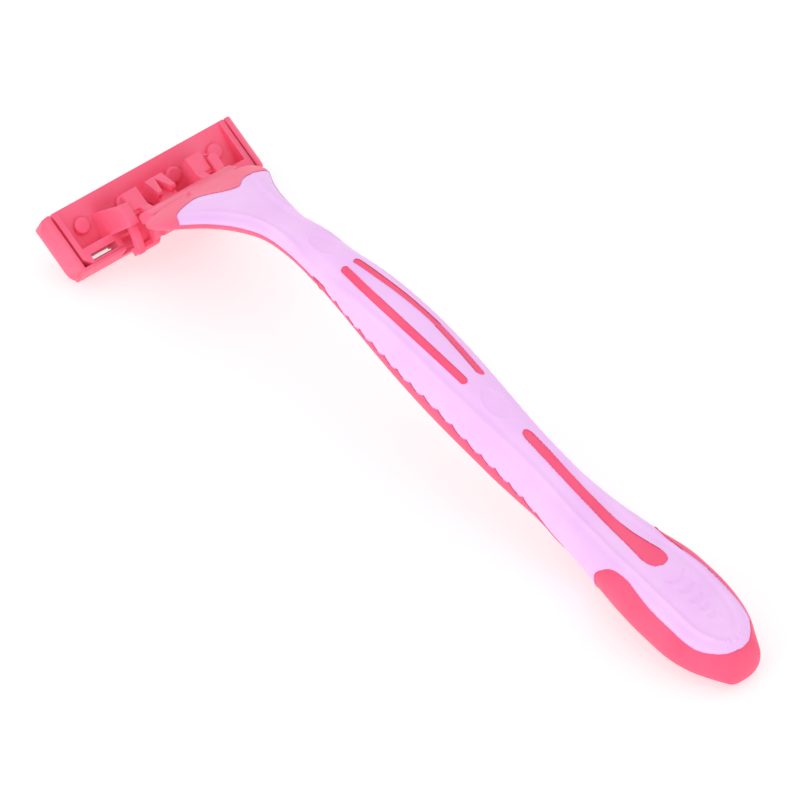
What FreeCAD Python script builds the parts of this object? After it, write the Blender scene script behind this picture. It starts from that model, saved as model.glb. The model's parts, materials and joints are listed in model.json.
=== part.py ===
import FreeCAD, Part
import math
import os
from FreeCAD import Vector, Rotation, Placement

# A cartridge razor: a curved two-shot handle with a sprung yoke at its head, and a
# triple-blade cartridge that pivots on two arched shell bearings. Millimetres.
#
# Razor frame while modelling: the origin is the middle of the cartridge's far back edge,
# +Y points from the handle's tail to the head, +Z up, and the razor lies on a table with
# its blades down. "run" is the distance from that far edge toward the tail (run = -Y).
# At the end every piece moves by one vector, so that the origin is at the bottom centre.

# ---------------------------------------------------------------- driving dimensions
HANDLE_RUN = 147.8          # far cartridge edge to the tip of the tail
CARTRIDGE_WIDTH = 40.0      # widest, across the bulging end caps
CARTRIDGE_DEPTH = 10.9      # far edge to the handle-side edge, along the back
CARTRIDGE_THICK = 4.8       # back plane to skin plane
CARTRIDGE_TILT = 29.4       # the back plane's tilt from the table, degrees

CAP_ROUND = 1.45            # each end cap's rounded edge, from the flat back to the widest
CAP_RIM = 0.85              # flat back of each end cap beside the platform, groove included
GROOVE = 0.35               # gap at each parting groove
RAIL = 0.95                 # rails at the platform's two ends
PLATFORM_BACKSET = 0.6      # handle-side edge of the frame to that of the platform
LEDGE = 2.8                 # ledge along the platform's handle-side edge, with the rinse slots
BACK_WIDTH = CARTRIDGE_WIDTH - 2 * CAP_ROUND
PLATFORM_WIDTH = BACK_WIDTH - 2 * CAP_RIM
RECESS_WIDTH = PLATFORM_WIDTH - 2 * RAIL
PLATFORM_RUN = CARTRIDGE_DEPTH - PLATFORM_BACKSET
LEDGE_RUN = PLATFORM_RUN - LEDGE

BLADE_ANGLE = 21.0          # blades and recess floor against the back plane, degrees
FLOOR_START = 0.4           # a point on the sloping floor: its run and its depth
FLOOR_DROP = 0.2
FLOOR_THICK = 0.8
BLADE_THICK = 0.1
BLADE_BEVEL = 0.35
BLADE_INSET = 0.6           # platform's end to the blades' and the cap's ends
STRIP_INSET = 1.2           # platform's end to the ends of the strip and of the fins
BLADE_LENGTH = PLATFORM_WIDTH - 2 * BLADE_INSET
STRIP_LENGTH = PLATFORM_WIDTH - 2 * STRIP_INSET
FIN_LENGTH = STRIP_LENGTH
BLADE_BACK = 0.9            # the blades' and spacers' back edge, along the floor
SPACER_THICK = 0.45
BLADE_EDGE_FIRST = 8.2      # where the first blade's edge stands, from the far edge
BLADE_EDGE_STEP = 1.55      # from each edge to the next, toward the far edge
SPACER_SETBACK = 0.9        # each spacer stops this far behind the edge of the blade under it
STACK_GAP = 0.01            # air between stacked pieces
CAP_OVERHANG = 0.7          # the cap's front edge, ahead of where a fourth blade's would be
CAP_SKIN_SETBACK = 0.35     # the cap's skin side, behind the skin plane
STRIP_RUNS = (0.9, 3.5)
STRIP_DEPTH = 0.65
STRIP_GAP = 0.05
STRIP_CROWN = 0.22
FIN_RUNS = (9.5, 10.45)
FIN_COUNT = 3
FIN_POCKET = 0.7

POST_INNER = 5.1            # stake posts: the inner pair, each side of the middle
POST_END_DISTANCE = 4.0     # and the outer pair, from the platform's ends
POST_ALONG = 3.55           # post centres, along the sloping floor
POST_RADIUS = 0.75
POST_HOLE_CLEARANCE = 0.05
HEAD_RADIUS = 1.42
HEAD_HEIGHT = 0.85
HEAD_SOFT = 0.5             # round of the stake head's rim

SLOT_INNER_X = 11.0         # rinse slots through the ledge
SLOT_END_DISTANCE = 0.65    # from the recess's end
SLOT_WIDTH = 1.0
SLOT_EDGE = 0.3             # from the platform's handle-side edge
ARM_NOTCH_X = (3.6, 10.0)   # where the arms pass the handle-side edge
ARM_NOTCH = 1.6
ARM_NOTCH_DEPTH = 3.0
ARM_NOTCH_SHELF = 2.4       # the platform goes on below the arms, from this depth
GUARD_WIDTH = 1.75          # guard bar along the frame's handle-side edge
GUARD_HEIGHT = 1.85

PIVOT_RUN = 6.3             # pivot axis, measured in the cartridge's back plane
PIVOT_DEPTH = 4.2           # and below it
HOOD_OUTER_RADIUS = 10.0    # arched hoods on the cartridge
HOOD_WALL = 1.0
BEARING_CLEARANCE = 0.08
SIDE_CLEARANCE = 0.15       # journal's end to the hood's leg
JOURNAL_THICK = 1.3
JOURNAL_WIDTH = 1.2
HOOD_INNER_X = 8.3
HOOD_TOP_WIDTH = 1.6
JOURNAL_X = HOOD_INNER_X + 0.1
HOOD_FOOT = 0.3             # how far the hoods' legs are sunk in the floor
HOOD_START, HOOD_END = -4.0, 18.0        # degrees from the back plane's normal
JOURNAL_START, JOURNAL_END = 2.0, 51.0
ARM_INNER_X = 5.1
ARM_WEB = 1.5
ARM_RISE = 0.6              # hood's highest point down to the arms' tops
ARM_TOP = HOOD_OUTER_RADIUS - PIVOT_DEPTH - ARM_RISE
ARM_WALL = 0.9              # wall that closes the arm between its web and its journal
ARM_FOOT = -0.2             # height of the arms' lower ends

PLUNGER_HALF = 1.75         # sprung plunger, slides level between the arms
PLUNGER_TOP = 0.3
PLUNGER_STEM = (-3.2, -1.2)  # heights of its stem
PLUNGER_HEEL = -3.7
PLUNGER_NOSE = 3.95         # run of the nose's top edge
PLUNGER_LENGTH = 3.75       # of the notched block on top
PLUNGER_TRAVEL = 1.75
PLUNGER_CLEARANCE = 0.08
NOTCH_DEEP, NOTCH_OPEN = 0.45, 1.15      # the V notch: its point's setback, its half width
STEM_END = 10.4             # runs of the stem's rear end and of the bore's end
BORE_END = 12.9
SPRING_HOLE_START = 7.0
SPRING_HOLE_RADIUS = 0.66
SPRING_MEAN_RADIUS = 0.45
SPRING_WIRE_RADIUS = 0.1
SPRING_END_GAP = 0.02
SPRING_TURNS = 7

NECK_HALF = 5.15            # the neck's block, and the wider ramp in front of the shoulder
RAMP_HALF = 8.6
TONGUE_HALF = 3.4

SHOULDER_RUN = 26.0         # behind this run, the handle's shape stretches with its length
DRAWN_RUN = 147.8           # the handle's length that the tables below are drawn at
SECTION_POWER = 2.5         # superellipse power of the handle's sections
SECTION_POINTS = 24
SKIN = 1.0                  # rubber skins over the handle
INLAY_DEPTH = 0.8
INLAY_PROUD = 0.08
STRIPE_WIDTH = 1.25
SCALLOPS = 16
SCALLOP_RADIUS = 2.6
COLLAR_LIP = 1.9            # the collar's lip under the shoulder
FAR = 30.0                  # beyond the razor, for cutting solids


def along(run):
    """Where a drawn run lies on a handle of the driving length."""
    if run <= SHOULDER_RUN:
        return run
    return SHOULDER_RUN + (run - SHOULDER_RUN) * (HANDLE_RUN - SHOULDER_RUN) / (DRAWN_RUN - SHOULDER_RUN)


def stretched(table, column=0):
    """A table whose runs, in the given column, follow the handle's length."""
    rows = []
    for row in table:
        row = list(row)
        row[column] = along(row[column])
        rows.append(tuple(row))
    return rows


# Handle sections: run, height of the top, thickness, half width.
SECTIONS = stretched([
    (13.0, 3.9, 3.1, 11.9), (15.5, 5.3, 3.2, 11.9), (18.0, 6.6, 3.3, 11.8), (20.5, 7.8, 3.4, 10.9),
    (23.0, 8.9, 3.5, 9.3), (26.0, 10.1, 3.5, 7.4), (30.0, 11.4, 3.5, 5.6), (34.0, 12.4, 3.5, 4.35),
    (38.0, 13.2, 3.9, 3.7), (43.0, 14.0, 5.0, 3.6), (50.0, 14.65, 7.4, 3.8), (57.0, 14.7, 9.45, 4.35),
    (64.0, 14.1, 10.95, 4.95), (72.0, 12.8, 12.0, 5.27), (82.0, 10.4, 12.5, 5.0), (92.0, 7.7, 12.5, 4.45),
    (100.0, 5.65, 11.35, 4.23), (106.0, 3.9, 9.85, 4.8), (112.0, 2.55, 8.65, 5.6), (118.0, 1.95, 8.8, 6.6),
    (124.0, 1.95, 9.7, 7.5), (130.0, 1.6, 10.55, 7.8), (136.0, 0.35, 10.2, 7.45), (141.0, -1.2, 8.7, 6.2),
    (144.3, -2.5, 7.2, 4.6), (146.3, -3.6, 5.4, 3.2), (147.4, -4.5, 3.4, 1.8), (147.8, -5.1, 1.8, 0.9),
])
# Seen from above: the shoulder's front rim and lobes, as (x, run).
SHOULDER_SIDE = [(0, 14.3), (4.0, 14.4), (7.5, 14.6), (9.6, 15.1), (10.8, 16.3), (11.05, 18.0),
                 (10.6, 20.0), (9.8, 22.0), (12.6, 26.0)]
# The lilac top's front edge, from the middle outward, as (x, run).
COLLAR_EDGE = [(0, 21.7), (1.6, 21.3), (3.4, 20.1), (5.0, 19.1), (6.6, 19.0), (8.2, 19.8), (9.4, 21.2),
               (12.6, 23.6)]
COLLAR_UNDER_END = along(50.0)     # the collar's lip runs on along the underside to here
# Where the belly grip meets the side, as (run, height).
BELLY_EDGE = stretched([(49.0, 10.7), (54.0, 10.0), (60.0, 8.9), (67.0, 7.9), (74.0, 6.3), (82.0, 4.7),
                        (92.0, 2.7), (101.0, -0.1), (105.0, -2.4), (111.0, -4.9), (118.8, -5.6)])
SCALLOP_FIRST, SCALLOP_LAST = along(51.6), along(102.5)
BUMPER_SIDE = stretched([(118.7, -12), (118.7, -2.6), (119.4, -1.4), (121.0, -0.7), (122.8, 0.2),
                         (124.3, 1.6), (125.6, 4.5), (155, 4.5), (155, -12)])
# The lilac island on top of the tail, as (x, run) down one side, and its tip.
ISLAND_SIDE = stretched([(5.6, 123.0), (5.7, 125.2), (6.1, 127.7), (6.4, 131.0), (6.4, 134.0), (6.2, 137.0),
                         (5.9, 139.0), (5.2, 141.2), (4.1, 142.9), (2.5, 144.3)], 1)
ISLAND_TIP = along(145.0)
ISLAND_LOW = -3.2
STRIPE_LINE = stretched([(1.15, 53.0), (1.7, 59.3), (2.07, 66.0), (2.2, 73.0), (1.86, 79.0), (1.66, 83.2)], 1)
DROP_SIDE = stretched([(0.45, 95.6), (0.5, 101.0), (0.57, 108.0), (0.66, 114.0), (0.95, 119.5), (1.55, 122.6),
                       (1.85, 124.9), (1.45, 126.5)], 1)
DROP_TIPS = (along(94.7), along(127.0))


# ---------------------------------------------------------------- helpers
def box(x0, x1, y0, y1, z0, z1):
    return Part.makeBox(x1 - x0, y1 - y0, z1 - z0, Vector(x0, y0, z0))


def fuse(shapes):
    result = shapes[0]
    for shape in shapes[1:]:
        result = result.fuse(shape)
    return result.removeSplitter()


def mirrored(shape):
    return shape.mirror(Vector(0, 0, 0), Vector(1, 0, 0))


def both_sides(shape):
    return [shape, mirrored(shape)]


def prism_x(points, x0, x1):
    """Solid of a closed outline given as (run, height) pairs, from x0 to x1."""
    corners = [Vector(x0, -run, height) for run, height in points]
    face = Part.Face(Part.makePolygon(corners + corners[:1]))
    return face.extrude(Vector(x1 - x0, 0, 0))


def prism_z(points, z0, z1):
    """Solid of a closed outline given as (x, run) pairs, from z0 to z1."""
    corners = [Vector(x, -run, z0) for x, run in points]
    face = Part.Face(Part.makePolygon(corners + corners[:1]))
    return face.extrude(Vector(0, 0, z1 - z0))


def ring_sector(radius_in, radius_out, start, end, x0, x1):
    """Arched strip about the pivot axis. Angles are from +Z toward the handle, degrees."""
    def at(radius, angle):
        turn = math.radians(angle)
        run = PIVOT_RUN + radius * math.sin(turn)
        return Vector(x0, -run, -PIVOT_DEPTH + radius * math.cos(turn))
    middle = (start + end) / 2
    outer = Part.Arc(at(radius_out, start), at(radius_out, middle), at(radius_out, end))
    inner = Part.Arc(at(radius_in, end), at(radius_in, middle), at(radius_in, start))
    edges = [outer.toShape(), Part.makeLine(at(radius_out, end), at(radius_in, end)),
             inner.toShape(), Part.makeLine(at(radius_in, start), at(radius_out, start))]
    return Part.Face(Part.Wire(edges)).extrude(Vector(x1 - x0, 0, 0))


def smooth_edge(points):
    """Smooth curve through the points, as an edge."""
    curve = Part.BSplineCurve()
    curve.interpolate(points)
    return curve.toShape()


def line_edges(points):
    return [Part.makeLine(start, end) for start, end in zip(points, points[1:])]


# ---------------------------------------------------------------- cartridge
# Cartridge pieces are drawn flat: back plane at z = 0, far edge at run = 0. They are
# tilted into place at the end.
FLOOR_SIN = math.sin(math.radians(BLADE_ANGLE))
FLOOR_COS = math.cos(math.radians(BLADE_ANGLE))


def on_floor(along, rise):
    """(run, height) of a point along the sloping floor and above it."""
    run = FLOOR_START + along * FLOOR_COS + rise * FLOOR_SIN
    return run, -FLOOR_DROP - along * FLOOR_SIN + rise * FLOOR_COS


def along_at(run, rise=0.0):
    """Distance along the floor of a point that stands at a given run."""
    return (run - FLOOR_START - rise * FLOOR_SIN) / FLOOR_COS


def plate(along0, along1, rise0, rise1, half):
    """Flat plate parallel to the blades, from -half to half across."""
    outline = [on_floor(along0, rise0), on_floor(along1, rise0),
               on_floor(along1, rise1), on_floor(along0, rise1)]
    return prism_x(outline, -half, half)


def post_axis(x, rise0, rise1, radius):
    """Round post square to the floor, between two heights above it."""
    run0, height0 = on_floor(POST_ALONG, rise0)
    run1, height1 = on_floor(POST_ALONG, rise1)
    start = Vector(x, -run0, height0)
    axis = Vector(x, -run1, height1) - start
    return Part.makeCylinder(radius, axis.Length, start, axis)


def post_places():
    spreads = (POST_INNER, PLATFORM_WIDTH / 2 - POST_END_DISTANCE)
    return [side * spread for spread in spreads for side in (-1, 1)]


def post_holes(shape, rise0, rise1):
    for x in post_places():
        shape = shape.cut(post_axis(x, rise0, rise1, POST_RADIUS + POST_HOLE_CLEARANCE))
    return shape


def stack_rise(layer):
    """Top of the numbered blade below the floor's back surface."""
    return -FLOOR_THICK - STACK_GAP - layer * (BLADE_THICK + SPACER_THICK + 2 * STACK_GAP)


def blade(layer):
    top = stack_rise(layer)
    edge = BLADE_EDGE_FIRST - layer * BLADE_EDGE_STEP
    tip = along_at(edge, top - BLADE_THICK)
    outline = [on_floor(BLADE_BACK, top), on_floor(tip - BLADE_BEVEL, top), on_floor(tip, top - BLADE_THICK),
               on_floor(BLADE_BACK, top - BLADE_THICK)]
    shape = prism_x(outline, -BLADE_LENGTH / 2, BLADE_LENGTH / 2)
    return post_holes(shape, top - 1, top + 1)


def spacer(layer):
    top = stack_rise(layer) - BLADE_THICK - STACK_GAP
    reach = along_at(BLADE_EDGE_FIRST - (layer + 1) * BLADE_EDGE_STEP - SPACER_SETBACK, top)
    shape = plate(BLADE_BACK, reach, top - SPACER_THICK, top, BLADE_LENGTH / 2)
    return post_holes(shape, top - 2, top + 1)


CAP_TOP = stack_rise(2) - BLADE_THICK - STACK_GAP
CAP_FRONT = BLADE_EDGE_FIRST - 3 * BLADE_EDGE_STEP + CAP_OVERHANG
CAP_SKIN = -CARTRIDGE_THICK + CAP_SKIN_SETBACK
CAP_LENGTH = BLADE_LENGTH


def cap():
    """Cap over the blades, with four stake posts and their heads on the back."""
    back_low = on_floor(along_at(0.15, CAP_TOP), CAP_TOP)
    outline = [(0.15, CAP_SKIN + 0.9), (0.6, CAP_SKIN + 0.25), (1.4, CAP_SKIN),
               (CAP_FRONT, CAP_SKIN), on_floor(along_at(CAP_FRONT, CAP_TOP), CAP_TOP),
               back_low]
    shape = prism_x(outline, -CAP_LENGTH / 2, CAP_LENGTH / 2)
    pocket = box(-STRIP_LENGTH / 2, STRIP_LENGTH / 2, -STRIP_RUNS[1], -STRIP_RUNS[0],
                 CAP_SKIN - 1, CAP_SKIN + STRIP_DEPTH)
    shape = shape.cut(pocket)
    for x in post_places():
        shape = shape.fuse(stake(x))
    return shape.removeSplitter()


def stake(x):
    """Post and its flattened, round-edged head, turned about one axis square to the floor."""
    foot = CAP_TOP - 0.1
    soft = HEAD_SOFT
    top = HEAD_HEIGHT
    across = soft * (1 - math.sqrt(0.5))
    outline = [(0, foot), (POST_RADIUS, foot), (POST_RADIUS, STACK_GAP), (HEAD_RADIUS, STACK_GAP),
               (HEAD_RADIUS, top - soft)]
    line = [Part.makeLine(Vector(*a, 0), Vector(*b, 0)) for a, b in zip(outline, outline[1:])]
    line.append(Part.Arc(Vector(HEAD_RADIUS, top - soft, 0), Vector(HEAD_RADIUS - across, top - across, 0),
                         Vector(HEAD_RADIUS - soft, top, 0)).toShape())
    line.append(Part.makeLine(Vector(HEAD_RADIUS - soft, top, 0), Vector(0, top, 0)))
    line.append(Part.makeLine(Vector(0, top, 0), Vector(0, foot, 0)))
    solid = Part.Face(Part.Wire(line)).revolve(Vector(0, 0, 0), Vector(0, 1, 0), 360)
    run0, height0 = on_floor(POST_ALONG, 0)
    run1, height1 = on_floor(POST_ALONG, 1)
    direction = Vector(0, run0 - run1, height1 - height0)
    solid.Placement = Placement(Vector(x, -run0, height0), Rotation(Vector(0, 1, 0), direction))
    return solid


def lubricating_strip():
    half = STRIP_LENGTH / 2 - STRIP_GAP
    first, last = STRIP_RUNS[0] + STRIP_GAP, STRIP_RUNS[1] - STRIP_GAP
    root = CAP_SKIN + STRIP_DEPTH - STRIP_GAP / 2
    outline = [(first, root), (first, CAP_SKIN - 0.05), (first + 0.55, CAP_SKIN - STRIP_CROWN),
               (last - 0.55, CAP_SKIN - STRIP_CROWN), (last, CAP_SKIN - 0.05), (last, root)]
    return prism_x(outline, -half, half)


def slot_cutter():
    """Rinse slot on the right: it slants toward the far edge, between the guard and the first blade."""
    last = PLATFORM_RUN - SLOT_EDGE
    first = last - SLOT_WIDTH
    outline = [(first, 1), (last, 1), (last, -1.5), (last - 0.85, -6), (first - 0.8, -6)]
    return prism_x(outline, SLOT_INNER_X, RECESS_WIDTH / 2 - SLOT_END_DISTANCE)


def notch_cutter(top, bottom):
    """Notch on the right of the handle-side edge that an arm passes."""
    return box(ARM_NOTCH_X[0], ARM_NOTCH_X[1], -CARTRIDGE_DEPTH - 1, -top, bottom, 1)


def platform():
    """Inner base: sloping floor, side rails, ledge with rinse slots, two hoods."""
    half = PLATFORM_WIDTH / 2
    recess_half = RECESS_WIDTH / 2
    edge_rise = on_floor(along_at(0), 0)
    floor = plate(0.0, along_at(LEDGE_RUN) + 0.3, -FLOOR_THICK, 0.0, half)
    far_edge = prism_x([edge_rise, (0, -1.6), on_floor(0.3, -FLOOR_THICK), on_floor(0.6, 0)], -half, half)
    under_ledge = on_floor(along_at(LEDGE_RUN, -FLOOR_THICK), -FLOOR_THICK)
    rail = prism_x([(0, 0), (0, -1.6), on_floor(0.3, -FLOOR_THICK), under_ledge, (LEDGE_RUN, 0)],
                   recess_half, half)
    ledge_under = -CARTRIDGE_THICK + 1.9
    ledge = prism_x([(LEDGE_RUN, 0), under_ledge, (LEDGE_RUN + 0.6, -3.65), (LEDGE_RUN + 1.25, -3.65),
                     (LEDGE_RUN + 1.45, ledge_under), (PLATFORM_RUN, ledge_under), (PLATFORM_RUN, 0)],
                    -half, half)
    shape = fuse([floor, far_edge, ledge] + both_sides(rail))
    corner = [(half + 1, PLATFORM_RUN - 1.2), (half, PLATFORM_RUN - 1.2), (half - 1.15, PLATFORM_RUN + 0.05),
              (half + 1, PLATFORM_RUN + 0.3)]
    for cutter in (slot_cutter(), notch_cutter(PLATFORM_RUN - ARM_NOTCH, -ARM_NOTCH_SHELF), prism_z(corner, -6, 1)):
        for side in both_sides(cutter):
            shape = shape.cut(side)
    for hood in both_sides(bearing_hood()):
        shape = shape.fuse(hood)
    shape = post_holes(shape, -2, 0.4)
    return shape.removeSplitter()


def bearing_hood():
    """Arched hood that the yoke's journal turns under, with its slanted outer leg."""
    inner = HOOD_OUTER_RADIUS - HOOD_WALL
    x_top = HOOD_INNER_X + HOOD_TOP_WIDTH
    roof = ring_sector(inner, HOOD_OUTER_RADIUS, HOOD_START, HOOD_END, HOOD_INNER_X, x_top)

    def arc_point(x, radius, angle):
        turn = math.radians(angle)
        return Vector(x, -(PIVOT_RUN + radius * math.sin(turn)),
                      -PIVOT_DEPTH + radius * math.cos(turn))
    radius_top = HOOD_OUTER_RADIUS
    top = [arc_point(x_top - HOOD_WALL, radius_top, HOOD_START), arc_point(x_top, radius_top, HOOD_START),
           arc_point(x_top, radius_top, HOOD_END), arc_point(x_top - HOOD_WALL, radius_top, HOOD_END)]
    foot = []
    for x, run in ((10.0, 2.9), (11.2, 2.9), (11.5, 6.9), (10.3, 6.9)):
        floor_run, floor_height = on_floor(along_at(run, -HOOD_FOOT), -HOOD_FOOT)
        foot.append(Vector(x, -floor_run, floor_height))
    leg = Part.makeLoft([Part.makePolygon(foot + foot[:1]), Part.makePolygon(top + top[:1])], True, True)
    journal_space = JOURNAL_X + JOURNAL_WIDTH + SIDE_CLEARANCE
    swept = Part.makeCylinder(inner, 3, Vector(journal_space - 3, -PIVOT_RUN, -PIVOT_DEPTH), Vector(1, 0, 0))
    outside = Part.makeCylinder(radius_top, 6, Vector(HOOD_INNER_X - 1, -PIVOT_RUN, -PIVOT_DEPTH),
                                Vector(1, 0, 0))
    leg = leg.common(outside)
    return fuse([roof, leg.cut(swept)])


def end_cap():
    """The bulging cap at the cartridge's right end."""
    half = CARTRIDGE_WIDTH / 2
    inner = PLATFORM_WIDTH / 2 + GROOVE
    bottom = -CARTRIDGE_THICK
    side = [Vector(BACK_WIDTH / 2, 0, 0), Vector(half - 0.75, 0, -0.55), Vector(half - 0.2, 0, -1.6),
            Vector(half, 0, -2.8), Vector(half - 0.4, 0, -4.1), Vector(half - 1.3, 0, bottom)]
    rest = [side[-1], Vector(inner - 0.9, 0, bottom), Vector(inner - 0.9, 0, bottom + 0.9),
            Vector(inner, 0, bottom + 0.9), Vector(inner, 0, -0.2), Vector(inner + 0.2, 0, 0), side[0]]
    section = Part.Face(Part.Wire([smooth_edge(side)] + line_edges(rest)))
    cap_bar = section.extrude(Vector(0, -CARTRIDGE_DEPTH, 0))
    depth = CARTRIDGE_DEPTH
    plan = [Vector(x, -run, bottom) for x, run in
            ((half - 0.6, 0), (half - 0.15, 0.9), (half + 0.05, 3.2), (half + 0.1, 6.0), (half - 0.15, 8.2),
             (half - 0.95, 9.8), (half - 2.1, depth - 0.25), (half - 3.4, depth))]
    square = [plan[-1], Vector(inner - 2, -depth, bottom), Vector(inner - 2, 0, bottom), plan[0]]
    outline = Part.Face(Part.Wire([smooth_edge(plan)] + line_edges(square)))
    return cap_bar.common(outline.extrude(Vector(0, 0, CARTRIDGE_THICK)))


def cartridge_frame():
    """Outer frame: two bulging end caps joined by the guard bar."""
    inner = PLATFORM_WIDTH / 2 + GROOVE
    bottom = -CARTRIDGE_THICK
    guard_top = bottom + GUARD_HEIGHT
    first = CARTRIDGE_DEPTH - GUARD_WIDTH
    lip = PLATFORM_RUN + 0.05
    guard = prism_x([(first, bottom + 0.3), (first + 0.3, bottom), (CARTRIDGE_DEPTH - 0.4, bottom),
                     (CARTRIDGE_DEPTH, bottom + 0.5), (CARTRIDGE_DEPTH, -0.35), (lip + 0.2, 0), (lip, 0),
                     (lip, guard_top), (first, guard_top)], -inner - 0.5, inner + 0.5)
    shape = fuse([guard] + both_sides(end_cap()))
    for side in both_sides(notch_cutter(PLATFORM_RUN - 0.01, -ARM_NOTCH_DEPTH)):
        shape = shape.cut(side)
    return shape.cut(fin_pocket())


def fin_pocket():
    """Pocket in the guard bar that the soft fins are moulded into."""
    return box(-FIN_LENGTH / 2, FIN_LENGTH / 2, -FIN_RUNS[1], -FIN_RUNS[0],
               -CARTRIDGE_THICK - 1, -CARTRIDGE_THICK + FIN_POCKET)


def guard_fins():
    """Soft fins that stretch the skin before the first blade."""
    gap = 0.03
    half = FIN_LENGTH / 2 - gap
    base = box(-half, half, -FIN_RUNS[1] + gap, -FIN_RUNS[0] - gap,
               -CARTRIDGE_THICK + 0.1, -CARTRIDGE_THICK + FIN_POCKET - gap)
    pitch = (FIN_RUNS[1] - FIN_RUNS[0]) / FIN_COUNT
    fins = [base]
    for index in range(FIN_COUNT):
        run = FIN_RUNS[0] + pitch * (index + 0.5)
        fins.append(prism_x([(run - 0.11, -CARTRIDGE_THICK + 0.2), (run - 0.05, -CARTRIDGE_THICK - 0.12),
                             (run + 0.05, -CARTRIDGE_THICK - 0.12), (run + 0.11, -CARTRIDGE_THICK + 0.2)],
                            -half, half))
    return fuse(fins)


# ---------------------------------------------------------------- yoke and plunger
def tilted(shape):
    """From the flat cartridge drawing to its place on the razor."""
    shape = shape.copy()
    shape.rotate(Vector(0, 0, 0), Vector(1, 0, 0), CARTRIDGE_TILT)
    return shape


def yoke_arm():
    """One arm: inner web, bridge on top, journal arch, the wall between, closed foot. Flat drawing."""
    radius_out = HOOD_OUTER_RADIUS - HOOD_WALL - BEARING_CLEARANCE
    radius_in = radius_out - JOURNAL_THICK
    x_web = ARM_INNER_X + ARM_WEB
    x_out = JOURNAL_X + JOURNAL_WIDTH
    x_bridge = HOOD_INNER_X - 0.3
    web = prism_x([(4.0, ARM_TOP), (4.1, 3.1), (6.2, 1.3), (8.8, 0.6), (11.2, 0.4), (11.3, ARM_FOOT),
                   (12.7, ARM_FOOT), (12.9, 0.6), (12.3, 3.6), (10.4, ARM_TOP + 1.1), (8.6, ARM_TOP + 1.2), (7.3, ARM_TOP)],
                  ARM_INNER_X, x_web)
    bridge = prism_x([(4.0, ARM_TOP), (4.05, ARM_TOP - 1.3), (7.6, ARM_TOP - 1.3), (7.3, ARM_TOP)],
                     ARM_INNER_X, x_bridge)
    journal = ring_sector(radius_in, radius_out, JOURNAL_START, JOURNAL_END, JOURNAL_X, x_out)
    root = ring_sector(radius_in, radius_out, JOURNAL_START, JOURNAL_START + 8, x_web - 0.2, JOURNAL_X + 0.2)
    wall = ring_sector(radius_in - ARM_WALL + 0.2, radius_in + 0.2, JOURNAL_START, JOURNAL_END,
                       x_web - 0.2, JOURNAL_X + 0.2)
    foot = prism_x([(11.35, ARM_FOOT), (12.7, ARM_FOOT), (12.9, 0.6), (12.7, 1.9), (11.9, 1.9)],
                   ARM_INNER_X, x_out)
    return fuse([web, bridge, journal, root, wall, foot])


NECK_OUTLINE = [(15.2, 4.75), (12.9, 3.7), (9.5, 0.35), (7.95, -1.3), (7.7, -3.4), (9.4, -4.35), (11.2, -4.6),
                (13.2, -3.0), (14.6, 0.4), (15.2, 3.0)]
RAMP_OUTLINE = [(15.2, 4.75), (12.9, 3.7), (11.35, 2.15), (11.15, 1.3), (12.0, 0.5), (15.2, 3.0)]
TONGUE_OUTLINE = [(12.6, 1.0), (14.5, 2.2), (18.0, 3.95), (24.0, 6.6), (24.0, 7.9), (18.0, 5.5), (12.6, 2.9)]


def yoke():
    """Head-side frame: two arms, the neck and ramp between them, and the tongue in the handle."""
    arms = [tilted(arm) for arm in both_sides(yoke_arm())]
    neck = prism_x(NECK_OUTLINE, -NECK_HALF, NECK_HALF)
    ramp = prism_x(RAMP_OUTLINE, -RAMP_HALF, RAMP_HALF)
    tongue = prism_x(TONGUE_OUTLINE, -TONGUE_HALF, TONGUE_HALF)
    shape = fuse([neck, ramp, tongue] + arms)
    gap = PLUNGER_CLEARANCE
    low, high = PLUNGER_STEM
    half = PLUNGER_HALF + gap
    bore = box(-half, half, -BORE_END, -6, low - gap, high + gap)
    block_end = PLUNGER_NOSE + PLUNGER_LENGTH + PLUNGER_TRAVEL + 0.25
    slot = box(-half, half, -block_end, -6, high - 0.2, PLUNGER_TOP + 3)
    return shape.cut(bore).cut(slot).removeSplitter()


def plunger():
    """Sprung plunger: a level stem with a slanted nose, and a block on top with a V notch."""
    low, high = PLUNGER_STEM
    half = PLUNGER_HALF
    top_edge = (PLUNGER_NOSE, PLUNGER_TOP)
    nose = [top_edge, (3.16, PLUNGER_HEEL), (4.6, PLUNGER_HEEL), (5.4, low), (5.4, PLUNGER_TOP)]
    block_end = PLUNGER_NOSE + PLUNGER_LENGTH
    block = [top_edge, (4.2, high), (block_end - 0.35, high), (block_end, -0.1),
             (block_end - 0.25, PLUNGER_TOP)]
    shape = fuse([prism_x(nose, -half, half), box(-half, half, -STEM_END, -4.6, low, high),
                  prism_x(block, -half, half)])
    notch = [(0, PLUNGER_NOSE + NOTCH_DEEP), (NOTCH_OPEN, block_end + 0.5), (-NOTCH_OPEN, block_end + 0.5)]
    shape = shape.cut(prism_z(notch, high, PLUNGER_TOP + 1))
    middle = (low + high) / 2
    hole = Part.makeCylinder(SPRING_HOLE_RADIUS, STEM_END, Vector(0, -SPRING_HOLE_START, middle),
                             Vector(0, -1, 0))
    return shape.cut(hole)


def plunger_spring():
    """Coil spring between the plunger's blind hole and the end of the yoke's bore."""
    wire = SPRING_WIRE_RADIUS
    length = BORE_END - SPRING_HOLE_START - 2 * SPRING_END_GAP
    pitch = (length - 2 * wire) / SPRING_TURNS
    helix = Part.makeHelix(pitch, length - 2 * wire, SPRING_MEAN_RADIUS)
    ring = Part.Wire(Part.Circle(Vector(SPRING_MEAN_RADIUS, 0, 0), Vector(0, 1, 0), wire).toShape())
    coil = Part.Wire(helix).makePipeShell([ring], True, True)
    coil.rotate(Vector(0, 0, 0), Vector(1, 0, 0), 90)
    coil.translate(Vector(0, -SPRING_HOLE_START - wire - SPRING_END_GAP, sum(PLUNGER_STEM) / 2))
    return coil


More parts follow.
